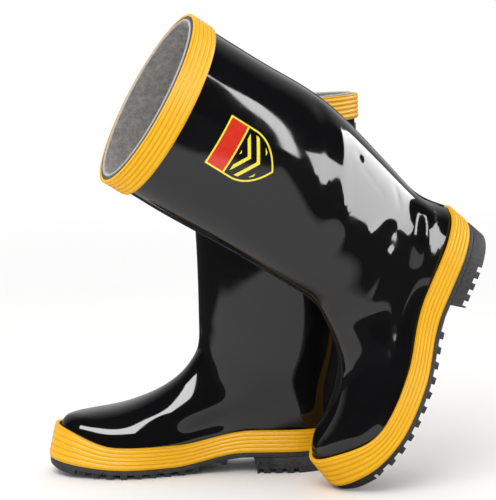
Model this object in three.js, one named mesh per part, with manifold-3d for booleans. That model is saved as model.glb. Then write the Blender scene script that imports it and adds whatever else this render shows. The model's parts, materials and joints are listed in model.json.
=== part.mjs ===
// A pair of pull-on rubber fire boots, in millimetres, +Z up, toes towards -X.
// Each boot is modelled once as a right boot in its own frame: x runs forward from the back of the
// heel, y towards the inner side, z up from the floor. The right boot stands flat. The left boot is
// the mirrored twin with its heel raised, standing on its toe, bent at the ball and at the ankle.
import * as THREE from 'three';
import { mergeVertices } from 'three/addons/utils/BufferGeometryUtils.js';
import Module from 'manifold-3d';

const wasm = await Module();
wasm.setup();

// ---- driving sizes -------------------------------------------------------------------------
const SOLE_LENGTH = 310;
const SOLE_WIDTH = 104; // across the ball
const BOOT_HEIGHT = 398; // floor to the middle of the collar rim
const HEEL_HEIGHT = 23; // floor to the lower edge of the foxing band at the heel
const TREAD_HEIGHT = 10; // the same at the ball: sole sheet and lugs
const TOE_SPRING = 9; // rise of the toe tip
const HEEL_LENGTH = 88; // heel back to heel breast
const SHEET = 5; // sole sheet without its lugs
const RAKE = 0.24; // backward lean of the foot's walls, per millimetre of height

const FOXING_THICK = 3.2;
const FOXING_HEIGHT = 24;
const TOE_FOXING_HEIGHT = 36;
const COLLAR_THICK = 2.6;
const COLLAR_HEIGHT = 26;
const BACKSTAY_WIDTH = 9;
const BACKSTAY_THICK = 1.8;

const SHAFT_LENGTH = 175; // front to back at the collar, over the rubber
const SHAFT_WIDTH = 114; // side to side at the collar
const ANKLE_LENGTH = 160;
const ANKLE_WIDTH = 88;
const SHAFT_LEAN = 61; // how far the collar's centre lies ahead of the heel's back
const RIM_TILT = 3.2; // degrees, higher at the back

const RUBBER = 2.6; // wall of the upper
const LINER = 1.4;
const TOE_CAP = 1.8; // steel
const COUNTER = 1.4; // heel stiffener
const PLATE = 1.2; // steel midsole
const SHANK = 1.2;
const SHANK_WIDTH = 16;
const BOARD = 2;
const INSOLE = 4.5;
const EMBLEM_SIZE = 62;
const EMBLEM_THICK = 0.6;
const GAP = 0.4; // clearance between touching pieces
const FLAT_GAP = 1.5; // the same where a flat sheet meets the upper's coarser facets
const OUTER_GAP = 0.8 * (BOOT_HEIGHT / 398) ** 2; // for what lies on the upper's outside facets

// ---- left boot's stance --------------------------------------------------------------------
const RIGHT_PLACE = { x: 8, y: 0, turn: -0.8 };
const LEFT_PLACE = { x: 62, y: -79.6, lift: 50.4, turn: 20.5, roll: 1.7, pitch: 64, pivot: 238 };
const BALL_BEND = { angle: 11.9, from: 0.54, to: 0.855, height: 12 }; // from, to: shares of the sole
const ANKLE_BEND = { angle: 7, x: 88, z: 100, from: 70, to: 150 };

// ---- grid counts ---------------------------------------------------------------------------
const COLUMNS = 20; // round each cross-section of the upper
const EDGE_POINTS = 60; // round the sole

const rad = THREE.MathUtils.degToRad;
const clamp = THREE.MathUtils.clamp;
const lerp = THREE.MathUtils.lerp;
const ease = (value, low, high) => THREE.MathUtils.smoothstep(value, low, high);

// ---- side profile --------------------------------------------------------------------------
// Height of the foxing band's lower edge, which is also the top of the outsole.
function seatHeight(x) {
  const heel = 1 - ease(x, HEEL_LENGTH + 5, SOLE_LENGTH * 0.57);
  const springStart = SOLE_LENGTH * 0.68;
  const spring = Math.max(x - springStart, 0) / (SOLE_LENGTH - springStart);
  return lerp(TREAD_HEIGHT, HEEL_HEIGHT, heel) + TOE_SPRING * spring * spring;
}

function foxingHeight(x) {
  return lerp(FOXING_HEIGHT, TOE_FOXING_HEIGHT, ease(x, SOLE_LENGTH * 0.78, SOLE_LENGTH));
}

// Layers above the outsole, each measured up from seatHeight.
const PLATE_Z = GAP;
const SHANK_Z = PLATE_Z + PLATE + GAP;
const BOARD_Z = SHANK_Z + SHANK + GAP;
const UPPER_Z = BOARD_Z + BOARD + FLAT_GAP;
const LINER_DEPTH = RUBBER + 1.5 * GAP;
const INSOLE_Z = UPPER_Z + LINER_DEPTH + LINER + 1.5 * FLAT_GAP;
const UPPER_INSET = FOXING_THICK + 3 * GAP; // from the foxing's face to the upper's

// ---- sole outline --------------------------------------------------------------------------
// Shares of the length and of the width across the ball; inner side positive.
const OUTLINE = [
  [0, 0], [0.03, -0.21], [0.11, -0.335], [0.27, -0.36], [0.415, -0.365], [0.54, -0.42],
  [0.674, -0.49], [0.78, -0.5], [0.877, -0.43], [0.946, -0.27], [0.988, -0.1], [1, 0.05],
  [0.984, 0.19], [0.935, 0.33], [0.854, 0.435], [0.756, 0.495], [0.66, 0.475], [0.54, 0.38],
  [0.415, 0.315], [0.28, 0.33], [0.11, 0.325], [0.03, 0.21],
];

function soleLoop(count) {
  const points = OUTLINE.map(([u, v]) => new THREE.Vector3(u * SOLE_LENGTH, v * SOLE_WIDTH, 0));
  const curve = new THREE.CatmullRomCurve3(points, true, 'centripetal');
  const loop = curve.getSpacedPoints(count).slice(0, count);
  return loop.map((p, i) => {
    const ahead = loop[(i + 1) % count];
    const behind = loop[(i + count - 1) % count];
    const out = new THREE.Vector2(ahead.y - behind.y, behind.x - ahead.x).normalize();
    return { x: p.x, y: p.y, out };
  });
}

const insetLoop = (loop, depth) => loop.map((p) => [p.x - p.out.x * depth, p.y - p.out.y * depth]);

const FINE_LOOP = soleLoop(160);

// Distance from a point in plan to the sole's edge, positive inside it.
function insetAt(x, y) {
  let nearest = Infinity;
  let inside = false;
  for (let i = 0; i < FINE_LOOP.length; i += 1) {
    const a = FINE_LOOP[i];
    const b = FINE_LOOP[(i + 1) % FINE_LOOP.length];
    const ex = b.x - a.x;
    const ey = b.y - a.y;
    const t = clamp(((x - a.x) * ex + (y - a.y) * ey) / (ex * ex + ey * ey), 0, 1);
    nearest = Math.min(nearest, Math.hypot(x - a.x - t * ex, y - a.y - t * ey));
    if (a.y > y !== b.y > y && x < a.x + (ex * (y - a.y)) / ey) inside = !inside;
  }
  return inside ? nearest : -nearest;
}

// ---- the upper's outer surface -------------------------------------------------------------
// Ridge of the foot: [share of the length, height over the floor].
const RIDGE = new THREE.SplineCurve([
  [0, 80], [0.3, 86], [0.5, 86], [0.64, 79], [0.75, 71], [0.84, 67], [0.93, 64], [1, 61],
].map(([u, z]) => new THREE.Vector2(u * SOLE_LENGTH, z)));

// Back and front lines of the shaft: [share of the boot's height, x].
const ANKLE_BACK = -16;
const SHAFT_BACK = SHAFT_LEAN - SHAFT_LENGTH / 2;
const SHAFT_RINGS = [
  { z: 0, back: 8, length: 130, width: 48 },
  { z: 0.12, back: 2, length: 138, width: 56 },
  { z: 0.25, back: -5, length: 150, width: 76 },
  { z: 0.4, back: ANKLE_BACK, length: ANKLE_LENGTH, width: ANKLE_WIDTH },
  { z: 0.6, back: SHAFT_BACK - 4, length: SHAFT_LENGTH, width: lerp(ANKLE_WIDTH, SHAFT_WIDTH, 0.8) },
  { z: 0.8, back: SHAFT_BACK - 1, length: SHAFT_LENGTH, width: SHAFT_WIDTH },
  { z: 1, back: SHAFT_BACK, length: SHAFT_LENGTH, width: SHAFT_WIDTH },
];

function curveAt(curve, coordinate, value) {
  let low = 0;
  let high = 1;
  for (let i = 0; i < 24; i += 1) {
    const middle = (low + high) / 2;
    if (curve.getPoint(middle)[coordinate] < value) low = middle;
    else high = middle;
  }
  return curve.getPoint(low);
}

const shaftLine = (key) => new THREE.SplineCurve(
  SHAFT_RINGS.map((ring) => new THREE.Vector2(ring[key], ring.z * BOOT_HEIGHT)),
);
const BACK_LINE = shaftLine('back');
const LENGTH_LINE = shaftLine('length');
const WIDTH_LINE = shaftLine('width');

// Below zero inside the upper, above zero outside.
function field(x, y, z) {
  const level = clamp(z, 0, BOOT_HEIGHT);
  const back = curveAt(BACK_LINE, 'y', level).x;
  const halfLength = curveAt(LENGTH_LINE, 'y', level).x / 2;
  const halfWidth = curveAt(WIDTH_LINE, 'y', level).x / 2;
  const shaft = (Math.hypot((x - back - halfLength) / halfLength, y / halfWidth) - 1) * halfWidth;

  const seat = seatHeight(x);
  const wall = foxingHeight(x);
  const inset = insetAt(x + RAKE * clamp(z - seat, 0, wall), y) - UPPER_INSET;
  const ridge = curveAt(RIDGE, 'x', clamp(x, 0, SOLE_LENGTH)).y;
  const dome = ridge - seat - wall + 4;
  const round = lerp(40, 13, ease(x, SOLE_LENGTH * 0.72, SOLE_LENGTH * 0.97));
  const across = Math.max(round - inset, 0) / round;
  const over = Math.max(z - seat - wall + 4, 0) / dome;
  const deep = across === 0 && over === 0;
  const nearest = -Math.min(inset, ridge - z);
  const foot = deep ? nearest : (Math.hypot(across, over) - 1) * Math.min(round, dome);

  const overBand = ease(z, seat + wall, seat + wall + 30);
  const blend = 1 + 49 * overBand * ease(x, SOLE_LENGTH * 0.28, SOLE_LENGTH * 0.5);
  const overlap = Math.max(blend - Math.abs(shaft - foot), 0) / blend;
  const joined = Math.min(shaft, foot) - (overlap * overlap * blend) / 4;
  return Math.max(joined, seat + UPPER_Z - z);
}

// ---- cross-sections of the upper, from the toe round the heel to the collar ----------------
// Each plane has a point inside the boot and an axis that lies in it, with y as the other axis.
const HINGE = new THREE.Vector2(SOLE_LENGTH * 0.67, BOOT_HEIGHT * 0.44);
const POLE_RISE = 20; // the toe pole's height over the seat line
const TOE_TIP = SOLE_LENGTH - UPPER_INSET - RAKE * POLE_RISE;
const HEEL_CORNER = Math.atan2(HINGE.x - UPPER_INSET, HINGE.y - HEEL_HEIGHT - UPPER_Z);

function sectionPlanes() {
  const planes = [];
  const wall = new THREE.Vector3(-RAKE, 0, 1).normalize();
  for (const share of [0.0097, 0.0258, 0.0484, 0.0774, 0.1129, 0.1581, 0.2129]) {
    const x = TOE_TIP - share * SOLE_LENGTH;
    planes.push({ x, z: seatHeight(x) + POLE_RISE, axis: wall });
  }
  const turns = [0, 1, 2, 3, 4, 5, 6].map((i) => (HEEL_CORNER * i) / 6);
  const rest = [1, 2, 3].map((i) => lerp(HEEL_CORNER, Math.PI / 2, i / 4));
  for (const angle of [...turns, ...rest]) {
    const axis = new THREE.Vector3(Math.sin(angle), 0, Math.cos(angle));
    const reach = lerp(BOOT_HEIGHT * 0.33, HINGE.x - SHAFT_LEAN - 8, angle / (Math.PI / 2));
    planes.push({ x: HINGE.x - axis.x * reach, z: HINGE.y - axis.z * reach, axis });
  }
  const bandEdge = BOOT_HEIGHT - COLLAR_HEIGHT;
  const rows = 6;
  const tilted = (share) => (
    new THREE.Vector3(1, 0, -Math.tan(rad(RIM_TILT)) * share).normalize()
  );
  for (let i = 0; i <= rows; i += 1) {
    planes.push({ x: SHAFT_LEAN, z: lerp(HINGE.y, bandEdge, i / rows), axis: tilted(i / rows) });
  }
  planes.push({ x: SHAFT_LEAN, z: BOOT_HEIGHT, axis: tilted(1) });
  return planes;
}

// Walk out from a point until the field turns positive, then close in on the surface.
function surfaceFrom(origin, direction) {
  const at = (t) => field(
    origin.x + direction.x * t,
    origin.y + direction.y * t,
    origin.z + direction.z * t,
  );
  let high = 2;
  while (at(high) < 0 && high < 400) high += 4;
  let low = high - 4;
  for (let i = 0; i < 14; i += 1) {
    const middle = (low + high) / 2;
    if (at(middle) < 0) low = middle;
    else high = middle;
  }
  return origin.clone().addScaledVector(direction, (low + high) / 2);
}

const SIDE = new THREE.Vector3(0, 1, 0);

function upperRings() {
  return sectionPlanes().map(({ x, z, axis }) => {
    const start = new THREE.Vector3(x, 0, z);
    const [left, right, up, down] = [SIDE, SIDE.clone().negate(), axis, axis.clone().negate()]
      .map((way) => surfaceFrom(start, way));
    const middle = up.clone().add(down).multiplyScalar(0.5);
    middle.y = (left.y + right.y) / 2;
    const halfAcross = (left.y - right.y) / 2;
    const halfAlong = up.distanceTo(down) / 2;
    return Array.from({ length: COLUMNS }, (_, j) => {
      const turn = (2 * Math.PI * j) / COLUMNS;
      const way = SIDE.clone().multiplyScalar(halfAcross * Math.cos(turn));
      way.addScaledVector(axis, halfAlong * Math.sin(turn)).normalize();
      return surfaceFrom(middle, way);
    });
  });
}

const RINGS = upperRings();
const LAST = RINGS.length - 1;
const BAND_RING = LAST - 1; // the section at the collar band's lower edge
const TOE_POLE = surfaceFrom(
  new THREE.Vector3(TOE_TIP - 12, SOLE_WIDTH * 0.05, seatHeight(TOE_TIP) + POLE_RISE),
  new THREE.Vector3(1, 0, 0),
);

// Outward direction at each grid point, from its neighbours.
const FACE_NORMALS = RINGS.map((ring, i) => ring.map((point, j) => {
  const before = i === 0 ? TOE_POLE : RINGS[i - 1][j];
  const after = i === LAST ? point : RINGS[i + 1][j];
  const along = after.clone().sub(before);
  const round = ring[(j + 1) % COLUMNS].clone().sub(ring[(j + COLUMNS - 1) % COLUMNS]);
  const normal = along.cross(round).normalize();
  if (i >= BAND_RING) normal.setZ(0).normalize();
  return normal;
}));

// The same evened out between neighbours, so that nested shells keep their distance at corners.
const NORMALS = FACE_NORMALS.map((ring, i) => ring.map((own, j) => {
  const mean = own.clone().multiplyScalar(2);
  mean.add(ring[(j + 1) % COLUMNS]).add(ring[(j + COLUMNS - 1) % COLUMNS]);
  if (i < BAND_RING) mean.add(FACE_NORMALS[Math.max(i - 1, 1)][j]).add(FACE_NORMALS[i + 1][j]);
  return mean.normalize();
}));

// How much deeper the liner lies where a toe cap or a heel counter is behind it.
const CAP_RING = 6; // the toe cap ends on this section
const COUNTER_RINGS = [14, 17];
const FLOOR_COLUMN = Math.round(COLUMNS * 0.75); // the column under the foot and up the back
function pocket(i, j) {
  const toe = 1 - ease(i, CAP_RING, CAP_RING + 1.5);
  const heel = ease(i, COUNTER_RINGS[0] - 1, COUNTER_RINGS[0])
    * (1 - ease(i, COUNTER_RINGS[1], COUNTER_RINGS[1] + 1.5));
  const wall = Math.abs(j - FLOOR_COLUMN) > 2 ? 1 : 0;
  return Math.max(wall * toe * (TOE_CAP + GAP), heel * (COUNTER + GAP));
}

const gridPoint = (i, j, depth) => RINGS[i][j % COLUMNS].clone()
  .addScaledVector(NORMALS[i][j % COLUMNS], -depth);

// ---- solid builders ------------------------------------------------------------------------
// A solid from one vertex list and faces given as index loops, each split into triangles.
function facedSolid(vertices, faces) {
  const triangles = [];
  for (const face of faces) {
    for (let k = 1; k < face.length - 1; k += 1) triangles.push(face[0], face[k], face[k + 1]);
  }
  const geometry = new THREE.BufferGeometry();
  geometry.setAttribute('position', new THREE.Float32BufferAttribute(vertices.flat(), 3));
  geometry.setIndex(triangles);
  return geometry;
}

// The same face seen from behind, still split along the same diagonal.
const flipped = ([first, ...others]) => [first, ...others.reverse()];

// A shell between two depths under the upper's surface, from the toe pole up to the collar.
function sockShell(outerDepth, innerDepth) {
  const vertices = [];
  const faces = [];
  const layers = [outerDepth, innerDepth].map((depthAt) => {
    const pole = vertices.push([TOE_POLE.x - depthAt(0, 0), TOE_POLE.y, TOE_POLE.z]) - 1;
    const rings = RINGS.map((ring, i) => ring.map((_, j) => (
      vertices.push(gridPoint(i, j, depthAt(i, j)).toArray()) - 1
    )));
    return { pole, rings };
  });
  layers.forEach(({ pole, rings }, side) => {
    const add = (face) => faces.push(side === 0 ? face : flipped(face));
    for (let j = 0; j < COLUMNS; j += 1) {
      const k = (j + 1) % COLUMNS;
      add([pole, rings[0][j], rings[0][k]]);
      for (let i = 0; i < LAST; i += 1) {
        add([rings[i][j], rings[i + 1][j], rings[i + 1][k], rings[i][k]]);
      }
    }
  });
  const [outer, inner] = layers.map(({ rings }) => rings[LAST]);
  for (let j = 0; j < COLUMNS; j += 1) {
    const k = (j + 1) % COLUMNS;
    faces.push([outer[j], inner[j], inner[k], outer[k]]);
  }
  return facedSolid(vertices, faces);
}

// A curved plate that follows part of the upper's grid between two depths.
function gridPatch(rows, columns, outerDepth, innerDepth, withPole = false) {
  const vertices = [];
  const faces = [];
  const layers = [outerDepth, innerDepth].map((depthAt) => ({
    pole: withPole ? vertices.push([TOE_POLE.x - depthAt(0, 0), TOE_POLE.y, TOE_POLE.z]) - 1 : null,
    cells: rows.map((i) => columns.map((j) => (
      vertices.push(gridPoint(i, j, depthAt(i, j)).toArray()) - 1
    ))),
  }));
  layers.forEach(({ pole, cells }, side) => {
    const add = (face) => faces.push(side === 0 ? face : flipped(face));
    for (let b = 0; b < columns.length - 1; b += 1) {
      if (withPole) add([pole, cells[0][b], cells[0][b + 1]]);
      for (let a = 0; a < rows.length - 1; a += 1) {
        add([cells[a][b], cells[a + 1][b], cells[a + 1][b + 1], cells[a][b + 1]]);
      }
    }
  });
  const edge = ({ pole, cells }) => [
    ...cells.map((row) => row[0]),
    ...cells[cells.length - 1].slice(1),
    ...cells.map((row) => row[row.length - 1]).reverse().slice(1),
    ...(withPole ? [pole] : cells[0].slice(1, -1).reverse()),
  ];
  const [outer, inner] = layers.map(edge);
  for (let k = 0; k < outer.length; k += 1) {
    const next = (k + 1) % outer.length;
    faces.push([outer[next], outer[k], inner[k], inner[next]]);
  }
  return facedSolid(vertices, faces);
}

// A closed band from a loop of sections, each a list of [x, y, z] in the same order.
function ringSolid(sections) {
  const count = sections.length;
  const size = sections[0].length;
  const faces = [];
  for (let i = 0; i < count; i += 1) {
    const next = (i + 1) % count;
    for (let k = 0; k < size; k += 1) {
      const l = (k + 1) % size;
      faces.push([i * size + k, i * size + l, next * size + l, next * size + k]);
    }
  }
  return facedSolid(sections.flat(), faces);
}

// A bar from a row of sections with both ends closed.
function barSolid(sections) {
  const size = sections[0].length;
  const faces = [];
  for (let i = 0; i < sections.length - 1; i += 1) {
    for (let k = 0; k < size; k += 1) {
      const l = (k + 1) % size;
      faces.push([i * size + k, i * size + l, (i + 1) * size + l, (i + 1) * size + k]);
    }
  }
  const last = (sections.length - 1) * size;
  faces.push(sections[0].map((_, k) => size - 1 - k));
  faces.push(sections[0].map((_, k) => last + k));
  return facedSolid(sections.flat(), faces);
}

// A sheet inside the sole's outline, between two heights given along the length.
const STATIONS = 24;
function soleSheet(inset, bottom, top, from = 0, to = 1) {
  const loop = insetLoop(FINE_LOOP, inset);
  const xs = loop.map(([x]) => x);
  const low = Math.min(...xs);
  const high = Math.max(...xs);
  const start = Math.max(low + 0.8, from * SOLE_LENGTH);
  const end = Math.min(high - 0.8, to * SOLE_LENGTH);
  const sections = [];
  for (let i = 0; i <= STATIONS; i += 1) {
    const u = i / STATIONS;
    const x = lerp(start, end, lerp(u, (1 - Math.cos(Math.PI * u)) / 2, 0.75));
    const ys = crossings(loop, x);
    sections.push([
      [x, ys[0], bottom(x)], [x, ys[1], bottom(x)], [x, ys[1], top(x)], [x, ys[0], top(x)],
    ]);
  }
  return barSolid(sections);
}

// Outer-side and inner-side y where a loop crosses a line of constant x.
function crossings(loop, x) {
  const ys = [];
  for (let i = 0; i < loop.length; i += 1) {
    const [ax, ay] = loop[i];
    const [bx, by] = loop[(i + 1) % loop.length];
    if (ax > x !== bx > x) ys.push(ay + ((by - ay) * (x - ax)) / (bx - ax));
  }
  return [Math.min(...ys), Math.max(...ys)];
}

// ---- joining and cutting -------------------------------------------------------------------
function toSolid(geometry) {
  const bare = geometry.clone();
  for (const name of Object.keys(bare.attributes)) if (name !== 'position') bare.deleteAttribute(name);
  const merged = mergeVertices(bare, 1e-4);
  return new wasm.Manifold(new wasm.Mesh({
    numProp: 3,
    vertProperties: new Float32Array(merged.attributes.position.array),
    triVerts: new Uint32Array(merged.index.array),
  }));
}

function toGeometry(solid) {
  const mesh = solid.getMesh();
  const geometry = new THREE.BufferGeometry();
  geometry.setAttribute('position', new THREE.BufferAttribute(mesh.vertProperties, mesh.numProp));
  geometry.setIndex(new THREE.BufferAttribute(mesh.triVerts, 1));
  return geometry;
}

const joinAll = (first, others) => toGeometry(others.reduce(
  (solid, other) => solid.add(toSolid(other)),
  toSolid(first),
));

const cutAll = (first, others) => toGeometry(others.reduce(
  (solid, other) => solid.subtract(toSolid(other)),
  toSolid(first),
));

// A block with its length along x, curved to lie under the sole's seat line.
function treadBlock(x, length, yFrom, yTo, top, bottom) {
  const taper = 0.8;
  const ends = [x - length / 2, x + length / 2];
  return barSolid(ends.map((at, side) => {
    const foot = at + (side === 0 ? taper : -taper);
    return [
      [foot, yFrom + taper, bottom(foot)], [foot, yTo - taper, bottom(foot)],
      [at, yTo, top(at)], [at, yFrom, top(at)],
    ];
  }));
}

// ---- the pieces ----------------------------------------------------------------------------
const SOLE_EDGE = 1; // how far the outsole's edge lies inside the foxing's face
const LUG_COUNT = 11;
const LUG_LENGTH = 8.5;
const LUG_DEPTH = TREAD_HEIGHT - SHEET;
const BUMPER_LENGTH = SOLE_LENGTH * 0.1;

const sheetBottom = (x) => seatHeight(x) - SHEET;
const treadBottom = (x) => seatHeight(x) - TREAD_HEIGHT;

function outsole() {
  const sheet = soleSheet(SOLE_EDGE, sheetBottom, seatHeight);
  const loop = insetLoop(FINE_LOOP, SOLE_EDGE);
  const inside = (x) => seatHeight(x) - SHEET / 2;
  const first = HEEL_LENGTH + 32;
  const last = SOLE_LENGTH - BUMPER_LENGTH - LUG_LENGTH * 0.8;
  const pitch = (last - first) / (LUG_COUNT - 1);
  const lugs = [];
  for (let i = 0; i < LUG_COUNT; i += 1) {
    const x = first + pitch * i;
    const narrow = [-1, 1].map((side) => crossings(loop, x + (side * LUG_LENGTH) / 2));
    const outer = Math.max(narrow[0][0], narrow[1][0]) + 0.3;
    const inner = Math.min(narrow[0][1], narrow[1][1]) - 0.3;
    const edge = SOLE_WIDTH * 0.17;
    const middle = (outer + inner) / 2;
    const centreX = x + pitch / 2;
    lugs.push(treadBlock(x, LUG_LENGTH, outer, outer + edge, inside, treadBottom));
    lugs.push(treadBlock(x, LUG_LENGTH, inner - edge, inner, inside, treadBottom));
    if (i < LUG_COUNT - 1) {
      lugs.push(treadBlock(centreX, LUG_LENGTH, middle - edge, middle + edge, inside, treadBottom));
    }
  }
  const bumper = soleSheet(
    SOLE_EDGE + 0.5,
    (x) => treadBottom(x) + 3 * ease(x, SOLE_LENGTH * 0.95, SOLE_LENGTH),
    inside,
    1 - BUMPER_LENGTH / SOLE_LENGTH,
    1,
  );
  return joinAll(sheet, [...lugs, bumper]);
}

const HEEL_TOP = HEEL_HEIGHT - SHEET - GAP;
const HEEL_LUG_PITCH = 12.5;
const HEEL_GROOVE = { width: 5.5, depth: 5, reach: 16 };

function heelBlock() {
  const loop = insetLoop(FINE_LOOP, SOLE_EDGE);
  const breast = HEEL_LENGTH;
  const levels = [0, 2, HEEL_TOP];
  const edge = loop.filter(([x]) => x < breast - 1);
  const before = (i) => loop[(i + loop.length - 1) % loop.length];
  const start = loop.findIndex(([x], i) => x < breast - 1 && before(i)[0] >= breast - 1);
  const ordered = edge.map((_, i) => loop[(start + i) % loop.length]);
  const [outerY, innerY] = crossings(loop, breast);
  const outline = [[breast, innerY], ...ordered, [breast, outerY]];
  const rows = levels.map((z) => outline.map(([x, y]) => {
    const shift = RAKE * (HEEL_TOP - z) * (1 - ease(x, 0, breast));
    const tuck = z === 0 ? 0.985 : 1;
    const slant = x === breast ? (z - HEEL_TOP) * 0.2 : 0;
    return [x + shift + slant, y * tuck, z];
  }));
  const count = outline.length;
  const vertices = rows.flat();
  const faces = [outline.map((_, i) => i).reverse(), outline.map((_, i) => 2 * count + i)];
  for (let level = 0; level < 2; level += 1) {
    for (let i = 0; i < count; i += 1) {
      const next = (i + 1) % count;
      faces.push([
        level * count + i, level * count + next, (level + 1) * count + next, (level + 1) * count + i,
      ]);
    }
  }
  const block = facedSolid(vertices, faces);
  const cutters = [];
  for (let i = 0; i < 4; i += 1) {
    const x = breast - HEEL_LUG_PITCH * (i + 0.62);
    for (const side of [-1, 1]) {
      const { width, depth, reach } = HEEL_GROOVE;
      const cutter = new THREE.BoxGeometry(width, reach + 20, 2 * depth);
      const y = (side < 0 ? outerY : innerY) + side * 10 - (side * reach) / 2;
      cutter.translate(x, y, 0);
      cutters.push(cutter);
    }
  }
  return cutAll(block, cutters);
}

function foxingBand() {
  const loop = soleLoop(EDGE_POINTS);
  const inner = insetLoop(loop, FOXING_THICK);
  return ringSolid(loop.map((p, i) => {
    const seat = seatHeight(p.x);
    const height = foxingHeight(p.x);
    const shift = RAKE * height;
    const [ix, iy] = inner[i];
    return [
      [ix, iy, seat + GAP], [ix - shift, iy, seat + height],
      [p.x - shift, p.y, seat + height], [p.x, p.y, seat + GAP],
    ];
  }));
}

function collarBand() {
  const sections = RINGS[LAST].map((_, j) => {
    const face = (i, depth) => gridPoint(i, j, depth).toArray();
    const out = -GAP - COLLAR_THICK;
    return [face(BAND_RING, out), face(LAST, out), face(LAST, -GAP), face(BAND_RING, -GAP)];
  });
  return ringSolid(sections);
}

// x of the upper's back surface at a height, on the centre line or beside it.
function backSurface(y, z) {
  return surfaceFrom(new THREE.Vector3(SHAFT_LEAN, y, z), new THREE.Vector3(-1, 0, 0)).x;
}

function backstay() {
  const bottom = seatHeight(0) + FOXING_HEIGHT + 2 * GAP;
  const top = RINGS[BAND_RING][FLOOR_COLUMN].z - 2 * GAP;
  const rows = 18;
  const half = BACKSTAY_WIDTH / 2;
  return barSolid(Array.from({ length: rows + 1 }, (_, i) => {
    const z = lerp(bottom, top, i / rows);
    const middle = backSurface(0, z) - OUTER_GAP;
    const side = backSurface(half, z) - OUTER_GAP;
    const [edge, crown] = [side - BACKSTAY_THICK * 0.6, middle - BACKSTAY_THICK];
    return [
      [edge, half, z], [crown, 0, z], [edge, -half, z],
      [side, -half, z], [middle, 0, z], [side, half, z],
    ];
  }));
}

// The badge: a shield outline that lies on the outer side of the shaft.
const EMBLEM_AT = { x: 60, z: 0.76 };
function emblem() {
  const outline = new THREE.Shape();
  const half = EMBLEM_SIZE / 2;
  outline.moveTo(-half * 0.84, half);
  outline.lineTo(half * 0.84, half);
  outline.lineTo(half * 0.84, 0);
  outline.quadraticCurveTo(half * 0.8, -half * 0.65, 0, -half * 1.1);
  outline.quadraticCurveTo(-half * 0.8, -half * 0.65, -half * 0.84, 0);
  const edge = outline.getSpacedPoints(20).slice(0, -1);
  const rings = [0.34, 0.68, 1];
  const origin = { x: EMBLEM_AT.x, z: EMBLEM_AT.z * BOOT_HEIGHT };
  const place = (u, v, lift) => {
    const [x, z] = [origin.x + u, origin.z + v];
    const hit = surfaceFrom(new THREE.Vector3(x, 0, z), new THREE.Vector3(0, -1, 0));
    return [x, hit.y - lift, z];
  };
  const vertices = [];
  const faces = [];
  const layers = [OUTER_GAP, OUTER_GAP + EMBLEM_THICK].map((lift) => {
    const centre = vertices.push(place(0, 0, lift)) - 1;
    const loops = rings.map((r) => edge.map((p) => vertices.push(place(p.x * r, p.y * r, lift)) - 1));
    return { centre, loops };
  });
  layers.forEach(({ centre, loops }, side) => {
    const add = (face) => faces.push(side === 1 ? flipped(face) : face);
    for (let k = 0; k < edge.length; k += 1) {
      const l = (k + 1) % edge.length;
      add([centre, loops[0][k], loops[0][l]]);
      for (let r = 0; r < rings.length - 1; r += 1) {
        add([loops[r][k], loops[r + 1][k], loops[r + 1][l], loops[r][l]]);
      }
    }
  });
  const [under, over] = layers.map(({ loops }) => loops[rings.length - 1]);
  for (let k = 0; k < edge.length; k += 1) {
    const l = (k + 1) % edge.length;
    faces.push([under[k], over[k], over[l], under[l]]);
  }
  return facedSolid(vertices, faces);
}

const above = (height) => (x) => seatHeight(x) + height;
const PLATE_INSET = FOXING_THICK + 4 * GAP;

const steelMidsole = () => soleSheet(PLATE_INSET, above(PLATE_Z), above(PLATE_Z + PLATE));
const insoleBoard = () => soleSheet(PLATE_INSET, above(BOARD_Z), above(BOARD_Z + BOARD));

const SHANK_FROM = 0.12;
const SHANK_TO = 0.52;
function steelShank() {
  const half = SHANK_WIDTH / 2;
  const rows = 14;
  return barSolid(Array.from({ length: rows + 1 }, (_, i) => {
    const x = lerp(SHANK_FROM, SHANK_TO, i / rows) * SOLE_LENGTH;
    const [low, high] = [seatHeight(x) + SHANK_Z, seatHeight(x) + SHANK_Z + SHANK];
    return [[x, -half, low], [x, half, low], [x, half, high], [x, -half, high]];
  }));
}

// The soft filler sheet between plate and board, cut out round the shank.
function filler() {
  const sheet = soleSheet(PLATE_INSET + 2, above(SHANK_Z), above(SHANK_Z + SHANK));
  const [from, to] = [SHANK_FROM * SOLE_LENGTH - 1, SHANK_TO * SOLE_LENGTH + 1];
  const slot = new THREE.BoxGeometry(to - from, SHANK_WIDTH + 2, 80);
  slot.translate((from + to) / 2, 0, 20);
  return cutAll(sheet, [slot]);
}

const INSOLE_INSET = UPPER_INSET + LINER_DEPTH + LINER + 11;
const insole = () => soleSheet(INSOLE_INSET, above(INSOLE_Z), above(INSOLE_Z + INSOLE));

const upperShell = () => sockShell(() => 0, () => RUBBER);
const linerShell = () => sockShell(
  (i, j) => LINER_DEPTH + pocket(i, j),
  (i, j) => LINER_DEPTH + LINER + pocket(i, j),
);

const span = (from, to) => Array.from({ length: to - from + 1 }, (_, i) => from + i);

function toeCap() {
  const columns = span(0, COLUMNS / 2);
  const depth = LINER_DEPTH;
  return gridPatch(span(0, CAP_RING), columns, () => depth, () => depth + TOE_CAP, true);
}

function heelCounter() {
  const columns = span(FLOOR_COLUMN - 4, FLOOR_COLUMN + 4);
  return gridPatch(
    span(COUNTER_RINGS[0], COUNTER_RINGS[1]),
    columns,
    () => LINER_DEPTH,
    () => LINER_DEPTH + COUNTER,
  );
}

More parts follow.
